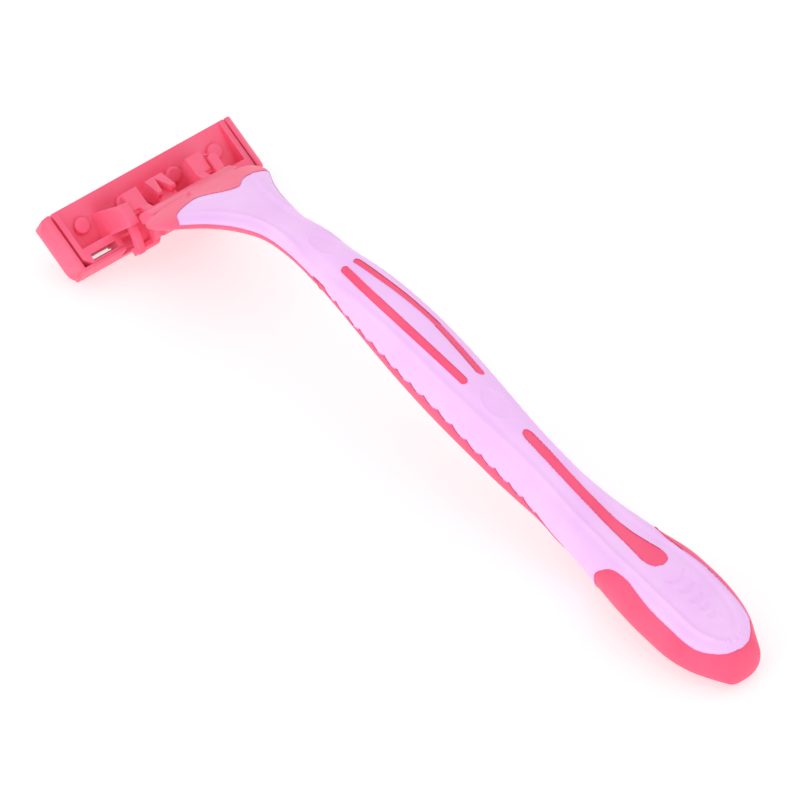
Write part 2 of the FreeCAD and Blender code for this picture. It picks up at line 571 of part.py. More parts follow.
# ---------------------------------------------------------------- handle
def section_wire(run, top, thick, half, inset):
    """Closed rounded section across the handle, shrunk by inset all round."""
    width = half - inset
    rise = thick / 2 - inset
    centre = top - thick / 2
    points = []
    for step in range(SECTION_POINTS):
        angle = 2 * math.pi * (step + 0.5) / SECTION_POINTS
        across, up = math.cos(angle), math.sin(angle)
        x = width * math.copysign(abs(across) ** (2 / SECTION_POWER), across)
        z = rise * math.copysign(abs(up) ** (2 / SECTION_POWER), up)
        points.append(Vector(x, -run, centre + z))
    spacing = [step / SECTION_POINTS for step in range(SECTION_POINTS + 1)]
    curve = Part.BSplineCurve()
    curve.interpolate(Points=points, PeriodicFlag=True, Parameters=spacing)
    return Part.Wire(curve.toShape())


def handle_body(inset):
    """The whole handle's rounded bar, shrunk by inset all round."""
    wires = []
    for run, top, thick, half in SECTIONS:
        wires.append(section_wire(run, top, thick, half, min(inset, thick / 2 - 0.5)))
    return Part.makeLoft(wires, True, False)


def outline_solid(side, z0, z1, first=None, last=None):
    """Upright prism whose right side is a smooth line of (x, run), mirrored to the left."""
    right = [Vector(x, -run, z0) for x, run in side]
    left = [Vector(-point.x, point.y, z0) for point in right]
    path = list(right)
    if last is not None:
        path.append(Vector(0, -last, z0))
    path += list(reversed(left))
    if first is not None:
        path.append(Vector(0, -first, z0))
        curve = Part.BSplineCurve()
        curve.interpolate(Points=path, PeriodicFlag=True)
        return Part.Face(Part.Wire(curve.toShape())).extrude(Vector(0, 0, z1 - z0))
    edges = [smooth_edge(path), Part.makeLine(path[-1], path[0])]
    return Part.Face(Part.Wire(edges)).extrude(Vector(0, 0, z1 - z0))


def plan_solid():
    """Everything inside the shoulder's outline, seen from above, and all of the handle behind it."""
    front = [Vector(-x, -run, -FAR) for x, run in reversed(SHOULDER_SIDE)]
    front += [Vector(x, -run, -FAR) for x, run in SHOULDER_SIDE[1:]]
    end_right = Vector(front[-1].x, -HANDLE_RUN - FAR, -FAR)
    end_left = Vector(front[0].x, -HANDLE_RUN - FAR, -FAR)
    edges = [smooth_edge(front)] + line_edges([front[-1], end_right, end_left, front[0]])
    return Part.Face(Part.Wire(edges)).extrude(Vector(0, 0, 2 * FAR))


def side_zone(edge, bottom, width=14.0):
    """Region below a smooth side line of (run, height), right across the handle."""
    line = [Vector(-width, -run, height) for run, height in edge]
    low_end = Vector(-width, line[-1].y, bottom)
    low_start = Vector(-width, line[0].y, bottom)
    edges = [smooth_edge(line), Part.makeLine(line[-1], low_end), Part.makeLine(low_end, low_start),
             Part.makeLine(low_start, line[0])]
    return Part.Face(Part.Wire(edges)).extrude(Vector(2 * width, 0, 0))


def interpolate(table, run):
    """Straight-line reading of a (run, value) table."""
    for (run0, value0), (run1, value1) in zip(table, table[1:]):
        if run <= run1:
            return value0 + (value1 - value0) * (run - run0) / (run1 - run0)
    return table[-1][1]


def belly_zone():
    """Region of the belly grip, with its row of scallops along each side."""
    zone = side_zone(BELLY_EDGE, -20)
    radius = SCALLOP_RADIUS
    pitch = (SCALLOP_LAST - SCALLOP_FIRST) / SCALLOPS
    for index in range(SCALLOPS):
        run = SCALLOP_FIRST + pitch * (index + 0.5)
        height = interpolate(BELLY_EDGE, run) + math.sqrt(max(radius ** 2 - (pitch / 2) ** 2, 0))
        zone = zone.cut(Part.makeCylinder(radius, 2 * FAR, Vector(-FAR, -run, height), Vector(1, 0, 0)))
    return zone


def stripe_solid():
    """Upright prism of the right-hand stripe, with rounded ends."""
    half = STRIPE_WIDTH / 2
    first_x, first_run = STRIPE_LINE[0]
    last_x, last_run = STRIPE_LINE[-1]
    outer = smooth_edge([Vector(x + half, -run, 0) for x, run in STRIPE_LINE])
    inner = smooth_edge([Vector(x - half, -run, 0) for x, run in STRIPE_LINE])
    front = Part.Arc(Vector(first_x - half, -first_run, 0), Vector(first_x, -first_run + half, 0),
                     Vector(first_x + half, -first_run, 0)).toShape()
    back = Part.Arc(Vector(last_x - half, -last_run, 0), Vector(last_x, -last_run - half, 0),
                    Vector(last_x + half, -last_run, 0)).toShape()
    wire = Part.Wire(Part.__sortEdges__([outer, inner, front, back]))
    return Part.Face(wire).extrude(Vector(0, 0, 25))


def collar_lip():
    """Region of the collar's thin lip, which follows the handle's underside."""
    edge = [(19.0, 5.0)]
    for run, top, thick, half in SECTIONS:
        if 20 < run < COLLAR_UNDER_END - 1:
            edge.append((run, top - thick + COLLAR_LIP))
    edge.append((COLLAR_UNDER_END - 1, 8.0))
    return side_zone(edge, -5)


def grips(outer):
    """The collar and the two rubber skins."""
    shell = outer.cut(handle_body(SKIN))
    island = outline_solid(ISLAND_SIDE, ISLAND_LOW, FAR, None, ISLAND_TIP)
    bumper_zone = prism_x(BUMPER_SIDE, -FAR, FAR).cut(island)
    front = outline_solid([(12.6, 5.0)] + list(reversed(COLLAR_EDGE[1:])), -FAR, FAR, None, COLLAR_EDGE[0][1])
    return {
        "tail_bumper": shell.common(bumper_zone),
        "belly_grip": shell.common(belly_zone()).cut(bumper_zone),
        "shoulder_collar": outer.common(front).fuse(outer.common(collar_lip())),
    }


def inlays():
    """The two stripes and the drop, a little proud of the top."""
    stripe = stripe_solid()
    drop = outline_solid(DROP_SIDE, -FAR, FAR, DROP_TIPS[0], DROP_TIPS[1])
    band = handle_body(-INLAY_PROUD).cut(handle_body(INLAY_DEPTH))
    prisms = {"stripe_inlay_right": stripe, "stripe_inlay_left": mirrored(stripe), "teardrop_inlay": drop}
    result = {}
    for name, prism in prisms.items():
        solids = prism.common(band).Solids
        result[name] = max(solids, key=lambda solid: solid.CenterOfMass.z)
    return result


def handle(yoke_shape):
    """The hard core, the collar, the rubber skins and the inlays, with room for the yoke's tongue."""
    outer = handle_body(0.0).common(plan_solid())
    pieces = grips(outer)
    pieces["shoulder_collar"] = pieces["shoulder_collar"].cut(yoke_shape)
    pieces.update(inlays())
    core = outer.cut(yoke_shape)
    for shape in pieces.values():
        core = core.cut(shape)
    pieces["handle_core"] = core
    return pieces


def cartridge():
    """Every piece that turns with the cartridge, in its place on the razor."""
    flat = {
        "cartridge_frame": cartridge_frame(),
        "blade_platform": platform(),
        "cartridge_cap": cap(),
        "lubricating_strip": lubricating_strip(),
        "guard_fins": guard_fins(),
    }
    for layer, name in enumerate(("first", "second", "third")):
        flat["blade_" + name] = blade(layer)
    for layer, name in enumerate(("lower", "upper")):
        flat["blade_spacer_" + name] = spacer(layer)
    return {name: tilted(shape) for name, shape in flat.items()}


def main():
    os.makedirs("parts", exist_ok=True)
    pieces = cartridge()
    pieces["yoke"] = yoke()
    pieces["plunger"] = plunger()
    pieces["plunger_spring"] = plunger_spring()
    pieces.update(handle(pieces["yoke"]))
    bounds = FreeCAD.BoundBox()
    for shape in pieces.values():
        bounds.add(shape.optimalBoundingBox(False))
    to_row = Vector(-bounds.Center.x, -bounds.Center.y, -bounds.ZMin)
    for name, shape in pieces.items():
        placed = shape.copy()
        placed.translate(to_row)
        placed.exportStep("parts/" + name + ".step")
        print(name, shape.isValid(), len(shape.Solids), round(shape.Volume, 2))
    print("moved by", [round(value, 4) for value in to_row])


if __name__ == "__main__":
    main()
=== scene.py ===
import bpy
import json
import math
import numpy as np
from mathutils import Matrix, Vector


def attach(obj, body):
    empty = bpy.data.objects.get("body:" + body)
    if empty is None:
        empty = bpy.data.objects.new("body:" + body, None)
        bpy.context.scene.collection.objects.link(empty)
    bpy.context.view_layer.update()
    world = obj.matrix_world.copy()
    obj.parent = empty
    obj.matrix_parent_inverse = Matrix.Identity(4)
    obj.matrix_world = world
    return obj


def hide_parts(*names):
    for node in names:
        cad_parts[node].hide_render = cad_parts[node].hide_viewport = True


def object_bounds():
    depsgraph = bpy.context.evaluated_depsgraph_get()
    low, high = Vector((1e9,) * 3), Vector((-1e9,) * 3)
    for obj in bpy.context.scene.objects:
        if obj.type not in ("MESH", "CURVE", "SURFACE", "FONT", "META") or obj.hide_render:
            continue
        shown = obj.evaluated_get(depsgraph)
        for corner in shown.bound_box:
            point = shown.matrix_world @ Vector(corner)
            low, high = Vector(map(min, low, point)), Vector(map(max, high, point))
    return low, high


# The razor's looks. All sizes here are metres unless a name ends in MM.
# Handle shapes are written in millimetres of "run", the distance from the cartridge's far
# back edge toward the tail, with x across and z up. The pivot joint places them in the frame.
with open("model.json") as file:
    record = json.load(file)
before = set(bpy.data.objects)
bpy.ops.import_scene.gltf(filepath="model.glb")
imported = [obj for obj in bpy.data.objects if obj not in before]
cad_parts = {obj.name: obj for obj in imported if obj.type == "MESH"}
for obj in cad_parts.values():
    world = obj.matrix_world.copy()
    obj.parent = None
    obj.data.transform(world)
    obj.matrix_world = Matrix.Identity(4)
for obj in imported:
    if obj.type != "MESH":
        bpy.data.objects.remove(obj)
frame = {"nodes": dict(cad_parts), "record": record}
bounds_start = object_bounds()

PIVOT_MM = Vector((0.0, -3.4253, -6.7523))
pivot = Vector(next(j for j in frame["record"]["behaviour"]["joints"] if j["type"] == "hinge")["pos_m"])
SHIFT = pivot - PIVOT_MM / 1000

# ---------------------------------------------------------------- handle shape
# run, top, thickness, half width
STATIONS = [
    (14.6, 4.75, 3.0, 9.8), (15.3, 5.15, 3.1, 10.6), (16.6, 5.85, 3.15, 11.05), (18.5, 6.8, 3.2, 11.0),
    (20.9, 8.0, 3.2, 10.25), (22.8, 8.85, 3.3, 9.1), (26.1, 10.15, 3.4, 7.2), (29.9, 11.4, 3.45, 5.6),
    (32.8, 12.15, 3.45, 4.7), (36.0, 12.85, 3.55, 3.95), (40.0, 13.55, 4.32, 3.55), (44.0, 14.15, 5.3, 3.58),
    (50.0, 14.65, 7.38, 3.77), (55.0, 14.75, 8.88, 4.15), (60.0, 14.5, 10.1, 4.6), (65.0, 13.96, 11.06, 4.97),
    (70.0, 13.15, 11.75, 5.2), (75.0, 12.1, 12.2, 5.25), (80.0, 10.9, 12.45, 5.12), (85.0, 9.6, 12.6, 4.82),
    (90.0, 8.26, 12.6, 4.53), (95.0, 6.9, 12.2, 4.3), (100.0, 5.65, 11.4, 4.25), (105.0, 4.2, 10.06, 4.71),
    (110.0, 2.95, 8.96, 5.28), (115.0, 2.15, 8.4, 6.1), (120.0, 1.9, 9.1, 6.88), (125.0, 1.95, 9.85, 7.62),
    (130.0, 1.6, 10.6, 7.78), (135.0, 0.6, 10.4, 7.62), (140.0, -0.95, 8.95, 6.55), (143.0, -1.85, 8, 5.0),
    (145.0, -2.75, 6.8, 3.95), (147.0, -4.0, 5.2, 2.8),
]
FRONT, TAIL = 14.35, 146.5
# Parting lines. The collar's edge is (x, run), the belly's is (run, height), the rest are (run, x).
COLLAR_EDGE = [(-12.0, 27.0), (-9.0, 21.9), (-8.2, 20.4), (-7.2, 19.6), (-4.8, 18.7), (-3.05, 18.5),
               (-1.1, 19.7),
               (0.3, 21.3), (1.6, 22.25), (2.7, 22.6), (3.8, 21.9), (4.9, 20.9), (6.7, 20.3), (9.5, 21.2),
               (12.0, 27.0)]
CREASE = [(20.0, 7.6), (23.0, 6.2), (25.6, 4.9), (29.0, 3.7), (34.0, 2.6), (38.0, 2.4), (43.5, 2.9),
          (48.0, 3.6), (58.0, 3.8), (68.0, 3.9), (77.0, 3.8), (86.0, 3.4), (92.0, 3.0), (98.6, 2.7),
          (104.0, 2.75), (110.0, 3.0),
          (116.0, 3.3), (121.0, 3.8), (126.0, 4.2), (130.7, 4.4), (134.0, 4.35), (137.0, 4.2), (139.0, 3.9),
          (141.0, 3.15), (142.6, 2.1), (143.4, 1.0), (143.6, 0.0)]
BELLY_EDGE = [(49.0, 10.9), (52.0, 10.5), (58.0, 9.1), (65.0, 8.2), (72.0, 6.8), (80.0, 5.1), (84.0, 3.7),
              (88.0, 2.3), (94.6, 0.5), (101.0, -1.3), (105.0, -2.9), (111.0, -5.0), (119.5, -5.7)]
ISLAND = [(118.8, 6.75), (120.1, 6.42), (121.2, 5.97), (123.0, 5.68), (125.0, 5.72), (127.6, 6.12),
          (130.6, 6.5), (132.8, 6.58), (136.0, 6.42), (138.5, 6.15), (140.8, 5.5), (142.9, 4.2),
          (144.3, 2.9), (144.95, 1.7), (145.25, 0.0)]
ISLAND_RIGHT = [(118.8, 5.6), (120.5, 5.25), (122.5, 4.95), (126.0, 4.95), (129.0, 5.35), (131.5, 5.6),
                (134.0, 5.6), (137.0, 5.6), (139.2, 5.5), (141.2, 5.05), (143.0, 3.8), (144.35, 2.4),
                (144.95, 1.4), (145.25, 0.0)]
BUMPER_START = 118.8
STRIPE_LEFT = [(54.2, -1.65), (59.0, -2.0), (65.0, -2.15), (70.0, -2.1), (76.0, -1.85), (82.3, -1.5)]
STRIPE_RIGHT = [(54.1, 0.95), (59.0, 1.35), (65.0, 1.95), (71.8, 2.35), (77.0, 2.15), (82.4, 1.85)]
STRIPE_HALF = 0.64
DROP = [(94.4, 0.0), (94.6, 0.4), (95.1, 0.7), (96.2, 0.86), (103.0, 0.9), (110.0, 0.9), (115.0, 0.96),
        (119.0, 1.18), (122.3, 1.58), (124.8, 1.88), (126.2, 1.65), (127.0, 0.95), (127.3, 0.0)]
DROP_MIDDLE = [(94.0, 0.3), (110.0, 0.3), (117.0, 0.1), (128.0, 0.0)]
LIP_END = 50.0
SCALLOP_FIRST, SCALLOP_LAST, SCALLOPS = 51.6, 102.5, 16
SCALLOP_RADIUS = 2.3
SCALLOP_STRETCH = 1.15       # the scallops' depth against that of a round notch
BELLY_START, BELLY_END = 48.7, 121.0
POWER = 2.5                  # superellipse power of the handle's sections
RUNS, ROUND = 640, 264       # rings along the handle, points round each
FRONT_RINGS, TAIL_RINGS = 26, 34
FRONT_ROUND, TAIL_ROUND = 1.9, 2.3       # lengths of the ends that have closer rings
SHOULDER_ROUND_END = 16.0    # the front's rounding ends at this run
TAIL_ROUND_START = 145.5     # and the tail's starts at this one
SKIRT = 0.12                 # depth of the pieces' own edges at the parting lines

# Relief on the skin, in millimetres.
CREASE_DEPTH, CREASE_WIDTH = 0.3, 0.32
CREASE_BANK, CREASE_BANK_AWAY, CREASE_BANK_WIDTH = 0.09, 0.8, 0.5
CREASE_START, CREASE_FADE = 19.5, 4.0
RESTS = ((47.1, 3.3, 1.75), (88.3, 3.2, 1.9))           # oval rests: middle's run, half length, half width
REST_RISE, REST_SOFT = 0.16, 0.15
REST_RIM, REST_RIM_WIDTH = 0.14, 0.25
RIBS = ((130.9, 2.3), (133.2, 1.8), (135.4, 1.6), (137.1, 1.2), (138.6, 1.05))      # run, half width
RIB_MIDDLE = 0.1             # x of the ribs' middle
RIB_BEND, RIB_BEND_MOST = 0.224, 1.6
RIB_RISE, RIB_WIDTH = 0.26, 0.42
RIB_DIP, RIB_DIP_AWAY, RIB_DIP_WIDTH = 0.14, 0.85, 0.4
RIB_END_SOFT = 0.35
PIT_DEPTH = 0.5              # small moulding mark on the collar's front
PIT_X, PIT_RUN = -2.1, 15.8
PIT_HALF, PIT_HALF_RUN = 0.45, 0.16
PROUD = (("belly", 0.05), ("bumper", 0.08), ("stripe_left", 0.05), ("stripe_right", 0.05), ("drop", 0.05))
PROUD_SOFT = 0.3
STEEPEST = 30                # keeps exp() within its range


def smooth(table, x):
    """Smooth curve through a table of (position, value), by monotone cubic steps."""
    t = np.array(table, float)
    xs, ys = t[:, 0], t[:, 1]
    h = np.diff(xs)
    slope = np.diff(ys) / h
    m = np.zeros(len(xs))
    m[1:-1] = np.where(slope[:-1] * slope[1:] > 0, (slope[:-1] + slope[1:]) / 2, 0)
    limit = 3 * np.minimum(abs(slope[:-1]), abs(slope[1:]))
    m[1:-1] = np.sign(m[1:-1]) * np.minimum(abs(m[1:-1]), limit)
    m[0], m[-1] = slope[0], slope[-1]
    i = np.clip(np.searchsorted(xs, x) - 1, 0, len(h) - 1)
    s = np.clip((x - xs[i]) / h[i], 0, 1)
    a = ys[i] * (1 + 2 * s) * (1 - s) ** 2 + ys[i + 1] * s * s * (3 - 2 * s)
    return a + h[i] * (m[i] * s * (1 - s) ** 2 - m[i + 1] * s * s * (1 - s))


def column(k):
    return [(row[0], row[k]) for row in STATIONS]


def end_round(run, start, reach, power=2.0):
    """0 at start, rising to 1 a reach away, like a rounded end."""
    s = np.clip((run - start) / reach, 0, 1)
    return (1 - (1 - s) ** power) ** (1 / power)


def section_sizes(run):
    """Top, thickness and half width of the handle at each run."""
    top = smooth(column(1), run)
    thick = smooth(column(2), run)
    half = smooth(column(3), run)
    front = end_round(run, FRONT, 1.1)
    front_wide = end_round(run, FRONT, 1.3, 2.6)
    tail = end_round(-run, -TAIL, TAIL - TAIL_ROUND_START, 2.0)
    in_front = run < SHOULDER_ROUND_END
    in_tail = run > TAIL_ROUND_START
    half = half * np.where(in_front, front_wide, 1) * np.where(in_tail, tail, 1)
    shrink = np.where(in_front, 0.25 + 0.75 * front, 1) * np.where(in_tail, tail, 1)
    centre = top - thick / 2
    return centre, thick * shrink, half


def line_distance(x, run, table, mirror=True):
    """Distance from points (x, run) to a smooth line given as (run, x)."""
    r = np.linspace(table[0][0], table[-1][0], 500)
    px = smooth(table, r)
    ax = abs(x) if mirror else x
    best = np.full(x.shape, 1e9)
    for a, b in zip(px, r):
        best = np.minimum(best, (ax - a) ** 2 + (run - b) ** 2)
    return np.sqrt(best)


def signed_outline(x, run, table):
    """Signed distance inside a shape that is symmetric about x = 0, given as (run, half width)."""
    inside = (abs(x) < smooth(table, run)) & (run > table[0][0]) & (run < table[-1][0])
    d = line_distance(x, run, table)
    return np.where(inside, d, -d)


def bump(away, width):
    """1 at no distance, falling smoothly to 0 both ways."""
    return np.exp(-(away / width) ** 2)


def step_down(away, soft):
    """1 far below 0, falling smoothly to 0 far above it."""
    return 1 / (1 + np.exp(np.clip(away / soft, -STEEPEST, STEEPEST)))


class Surface:
    """The handle's skin as a dense grid, with every boundary as a field in millimetres."""

    def __init__(self):
        first, last = FRONT + FRONT_ROUND, TAIL - TAIL_ROUND
        front = first - FRONT_ROUND * np.cos(np.linspace(0, math.pi / 2, FRONT_RINGS))
        tail = last + TAIL_ROUND * np.sin(np.linspace(0, math.pi / 2, TAIL_RINGS))
        middle = np.linspace(first, last, RUNS - FRONT_RINGS - TAIL_RINGS)[1:-1]
        angle = (np.arange(ROUND) + 0.5) / ROUND * 2 * math.pi
        R, A = np.meshgrid(np.concatenate([front, middle, tail]), angle, indexing="ij")
        centre, thick, half = section_sizes(R)
        c, s = np.cos(A), np.sin(A)
        x = half * np.sign(c) * abs(c) ** (2 / POWER)
        z = centre + thick / 2 * np.sign(s) * abs(s) ** (2 / POWER)
        self.shape = R.shape
        plain = np.stack([x, -R, z], -1)
        self.normal = self.normals(plain)
        self.fieldset = self.fields(x, R, z, centre, s)
        self.points = plain + self.normal * self.relief(x, R, s, self.fieldset)[..., None]

    @staticmethod
    def normals(grid):
        lengthways = np.gradient(grid, axis=0)
        around = np.roll(grid, -1, 1) - np.roll(grid, 1, 1)
        normal = np.cross(lengthways, around)
        normal /= np.linalg.norm(normal, axis=-1, keepdims=True) + 1e-12
        return normal

    def fields(self, x, run, z, centre, s):
        """Each is positive inside its piece."""
        upper = s > -0.05
        far = np.full(x.shape, -9.0)
        edge_run = smooth(COLLAR_EDGE, x)
        slope = (smooth(COLLAR_EDGE, x + 0.05) - smooth(COLLAR_EDGE, x - 0.05)) / 0.1
        front = (edge_run - run) / np.sqrt(1 + slope ** 2)
        lip_top = centre + 0.35 - 1.2 * np.clip((run - 30) / (LIP_END - 30), 0, 1) ** 2
        lip = np.where(run < LIP_END, np.minimum(lip_top - z, (LIP_END - run) * 0.4), -9)
        collar = np.maximum(front, lip)
        belly = smooth(BELLY_EDGE, run) - z
        step = (SCALLOP_LAST - SCALLOP_FIRST) / SCALLOPS
        phase = (run - SCALLOP_FIRST) / step
        frac = phase - np.floor(phase)
        chord = math.sqrt(SCALLOP_RADIUS ** 2 - (step / 2) ** 2)
        lobe = np.sqrt(np.maximum(SCALLOP_RADIUS ** 2 - ((frac - 0.5) * step) ** 2, 0)) - chord
        on = (run > SCALLOP_FIRST) & (run < SCALLOP_LAST)
        belly = belly - np.where(on, lobe * SCALLOP_STRETCH, 0)
        here = (run > BELLY_START - 0.2) & (run < BELLY_END)
        belly = np.where(here, np.minimum(belly, run - BELLY_START), -9)
        island = np.where(x < 0, signed_outline(x, run, ISLAND), signed_outline(x, run, ISLAND_RIGHT))
        behind = run - BUMPER_START
        bumper = np.where(s > 0.0, np.minimum(-island, behind * 1.5), behind)
        belly = np.minimum(belly, -bumper)
        stripe_l = np.where(upper, STRIPE_HALF - line_distance(x, run, STRIPE_LEFT, False), far)
        stripe_r = np.where(upper, STRIPE_HALF - line_distance(x, run, STRIPE_RIGHT, False), far)
        beside = x - smooth(DROP_MIDDLE, run)
        drop = np.where(upper, signed_outline(beside, run, DROP), far)
        return {"collar": collar, "belly": belly, "bumper": bumper, "stripe_left": stripe_l,
                "stripe_right": stripe_r, "drop": drop}

    def relief(self, x, run, s, fields):
        """How far the skin stands proud of the plain shape, in millimetres."""
        up = s > 0.1
        h = np.zeros(x.shape)
        crease = np.where(up, line_distance(x, run, CREASE), 9)
        fade = np.clip((run - CREASE_START) / CREASE_FADE, 0, 1)
        h -= CREASE_DEPTH * bump(crease, CREASE_WIDTH) * fade
        h += CREASE_BANK * bump(crease - CREASE_BANK_AWAY, CREASE_BANK_WIDTH) * fade
        for middle, length, width in RESTS:
            ring = (np.sqrt((x / width) ** 2 + ((run - middle) / length) ** 2) - 1) * width
            rest = REST_RISE * step_down(ring, REST_SOFT) - REST_RIM * bump(ring, REST_RIM_WIDTH)
            h += np.where(up, rest, 0)
        for place, wide in RIBS:
            off = run - (place - np.minimum(RIB_BEND * x ** 2, RIB_BEND_MOST))
            cut = np.clip((wide - abs(x - RIB_MIDDLE)) / RIB_END_SOFT, 0, 1)
            rib = RIB_RISE * bump(off, RIB_WIDTH) - RIB_DIP * bump(off - RIB_DIP_AWAY, RIB_DIP_WIDTH)
            h += np.where(up, rib * cut, 0)
        h -= PIT_DEPTH * bump(x - PIT_X, PIT_HALF) * bump(run - PIT_RUN, PIT_HALF_RUN) * up
        for name, proud in PROUD:
            h += proud * step_down(-fields[name], PROUD_SOFT)
        return h


def split(points, tris, field):
    """Cuts triangles along field = 0. points has extra columns, which are carried along."""
    f = points[:, field]
    f = np.where(abs(f) < 1e-6, 1e-6, f)
    inside = f[tris] > 0
    count = inside.sum(1)
    keep_in, keep_out = tris[count == 3], tris[count == 0]
    mixed = tris[(count > 0) & (count < 3)]
    if not len(mixed):
        return points, keep_in, keep_out
    m = f[mixed] > 0
    lone_in = m.sum(1) == 1
    lone = np.where(lone_in, m.argmax(1), (~m).argmax(1))
    rows = np.arange(len(mixed))
    a = mixed[rows, lone]
    b = mixed[rows, (lone + 1) % 3]
    c = mixed[rows, (lone + 2) % 3]
    edges = np.concatenate([np.stack([a, b], 1), np.stack([a, c], 1)])
    key = np.sort(edges, 1)
    unique, back = np.unique(key, axis=0, return_inverse=True)
    back = back.ravel()
    t = f[unique[:, 0]] / (f[unique[:, 0]] - f[unique[:, 1]])
    new = points[unique[:, 0]] * (1 - t[:, None]) + points[unique[:, 1]] * t[:, None]
    base = len(points)
    ab, ac = base + back[:len(mixed)], base + back[len(mixed):]
    tip = np.stack([a, ab, ac], 1)
    quad = np.concatenate([np.stack([ab, b, c], 1), np.stack([ab, c, ac], 1)])
    both = np.concatenate([lone_in, lone_in])
    points = np.concatenate([points, new])
    return (points, np.concatenate([keep_in, tip[lone_in], quad[~both]]),
            np.concatenate([keep_out, tip[~lone_in], quad[both]]))


def make_piece(name, points, tris, body, material):
    """Mesh object of some of the triangles, in the row frame, with a skirt along its rim."""
    used, index = np.unique(tris, return_inverse=True)
    tris = index.reshape(-1, 3)
    rows = points[used]
    v = rows[:, :3]
    edges = np.concatenate([tris[:, [0, 1]], tris[:, [1, 2]], tris[:, [2, 0]]])
    first, counts = np.unique(np.sort(edges, 1), axis=0, return_index=True, return_counts=True)[1:]
    rim = edges[first[counts == 1]]
    ring, where = np.unique(rim, return_inverse=True)
    where = where.reshape(-1, 2)
    low = v[ring] - rows[ring][:, 3:6] * SKIRT
    i0, i1 = len(v) + where[:, 0], len(v) + where[:, 1]
    v = np.concatenate([v, low])
    tris = np.concatenate([tris, np.stack([rim[:, 1], rim[:, 0], i0], 1), np.stack([rim[:, 1], i0, i1], 1)])
    v = v / 1000 + np.array(SHIFT)
    mesh = bpy.data.meshes.new(name)
    mesh.vertices.add(len(v))
    mesh.vertices.foreach_set("co", v.astype(np.float32).ravel())
    mesh.loops.add(len(tris) * 3)
    mesh.loops.foreach_set("vertex_index", tris.astype(np.int32).ravel())
    mesh.polygons.add(len(tris))
    mesh.polygons.foreach_set("loop_start", np.arange(0, len(tris) * 3, 3, dtype=np.int32))
    mesh.update(calc_edges=True)
    mesh.validate()
    mesh.polygons.foreach_set("use_smooth", np.ones(len(mesh.polygons), dtype=bool))
    obj = bpy.data.objects.new(name, mesh)
    bpy.context.scene.collection.objects.link(obj)
    mesh.materials.append(material)
    sharp = obj.modifiers.new("edges", "EDGE_SPLIT")
    sharp.split_angle = math.radians(50)
    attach(obj, body)
    return obj


# ---------------------------------------------------------------- materials
def srgb(r, g, b):
    def one(value):
        value /= 255
        return value / 12.92 if value <= 0.04045 else ((value + 0.055) / 1.055) ** 2.4
    return (one(r), one(g), one(b), 1)


def plastic(name, light, dark, rough, subsurface, grain=0.02):
    """Moulded plastic: faint cloudy colour, fine surface grain, scuffs in the gloss."""
    m = bpy.data.materials.new(name)
    m.use_nodes = True
    nt = m.node_tree
    nt.nodes.clear()
    out = nt.nodes.new("ShaderNodeOutputMaterial")
    bsdf = nt.nodes.new("ShaderNodeBsdfPrincipled")
    nt.links.new(bsdf.outputs[0], out.inputs[0])
    coord = nt.nodes.new("ShaderNodeTexCoord")

    def noise(scale, detail):
        n = nt.nodes.new("ShaderNodeTexNoise")
        n.inputs["Scale"].default_value = scale
        n.inputs["Detail"].default_value = detail
        nt.links.new(coord.outputs["Object"], n.inputs["Vector"])
        return n.outputs["Fac"]

    ramp = nt.nodes.new("ShaderNodeValToRGB")
    ramp.color_ramp.elements[0].color = dark
    ramp.color_ramp.elements[1].color = light
    ramp.color_ramp.elements[0].position = 0.3
    ramp.color_ramp.elements[1].position = 0.7
    nt.links.new(noise(140, 3), ramp.inputs["Fac"])
    nt.links.new(ramp.outputs["Color"], bsdf.inputs["Base Color"])
    spread = nt.nodes.new("ShaderNodeMapRange")
    spread.inputs["To Min"].default_value = rough - 0.05
    spread.inputs["To Max"].default_value = rough + 0.07
    nt.links.new(noise(900, 4), spread.inputs["Value"])
    nt.links.new(spread.outputs["Result"], bsdf.inputs["Roughness"])
    bump = nt.nodes.new("ShaderNodeBump")
    bump.inputs["Strength"].default_value = 0.35
    bump.inputs["Distance"].default_value = grain / 1000
    nt.links.new(noise(4500, 2), bump.inputs["Height"])
    nt.links.new(bump.outputs["Normal"], bsdf.inputs["Normal"])
    bsdf.inputs["Subsurface Weight"].default_value = subsurface
    bsdf.inputs["Subsurface Radius"].default_value = (1.0, 0.45, 0.5)
    bsdf.inputs["Subsurface Scale"].default_value = 0.0015
    bsdf.inputs["IOR"].default_value = 1.47
    return m


def metal(name, colour, rough):
    """Ground steel: fine lines along the blade."""
    m = bpy.data.materials.new(name)
    m.use_nodes = True
    nt = m.node_tree
    bsdf = nt.nodes["Principled BSDF"]
    bsdf.inputs["Base Color"].default_value = colour
    bsdf.inputs["Metallic"].default_value = 1
    coord = nt.nodes.new("ShaderNodeTexCoord")
    stretch = nt.nodes.new("ShaderNodeMapping")
    stretch.inputs["Scale"].default_value = (40, 4000, 4000)
    nt.links.new(coord.outputs["Object"], stretch.inputs["Vector"])
    n = nt.nodes.new("ShaderNodeTexNoise")
    n.inputs["Scale"].default_value = 1
    nt.links.new(stretch.outputs["Vector"], n.inputs["Vector"])
    spread = nt.nodes.new("ShaderNodeMapRange")
    spread.inputs["To Min"].default_value = rough
    spread.inputs["To Max"].default_value = rough + 0.2
    nt.links.new(n.outputs["Fac"], spread.inputs["Value"])
    nt.links.new(spread.outputs["Result"], bsdf.inputs["Roughness"])
    return m


